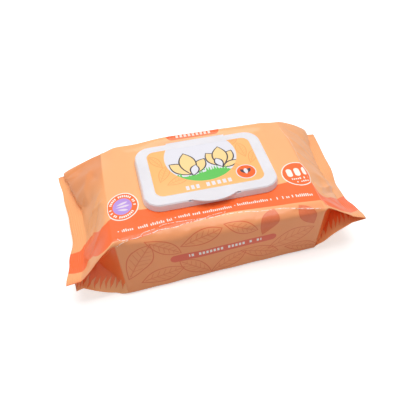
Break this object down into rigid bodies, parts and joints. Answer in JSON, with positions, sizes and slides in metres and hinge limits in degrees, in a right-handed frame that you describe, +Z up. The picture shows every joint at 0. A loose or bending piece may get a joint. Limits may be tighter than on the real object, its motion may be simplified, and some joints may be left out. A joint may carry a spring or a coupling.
{
  "type": "wet wipes pack",
  "caption": "Sealed film brick of wet wipes with gusseted crimped ends and a rigid white flip lid that hinges open at its rear edge.",
  "frame": {"origin": "centre of the bounding box, on the surface that the pack rests on", "axes": "+X along the length of the pack, +Y towards the hinge of the lid, +Z up through the lid"},
  "size_m": [0.2448, 0.121, 0.0601],
  "materials": {
    "printed_film": "printed laminate film, satin gloss",
    "lid_plastic": "white moulded polypropylene, satin",
    "seal_film": "peel-off sealing film",
    "printed_label": "printed film label"
  },
  "bodies": {
    "pack": {"film_pack": "printed_film", "lid_base": "lid_plastic", "seal_label": "seal_film"},
    "cover": {"lid_cover": "lid_plastic", "lid_label": "printed_label"}
  },
  "joints": [
    {"name": "cover_hinge", "type": "hinge", "parent": "pack", "child": "cover", "pos_m": [0.0004, 0.0423, 0.05945], "axis": [-1, 0, 0], "range_deg": [0, 140]}
  ]
}
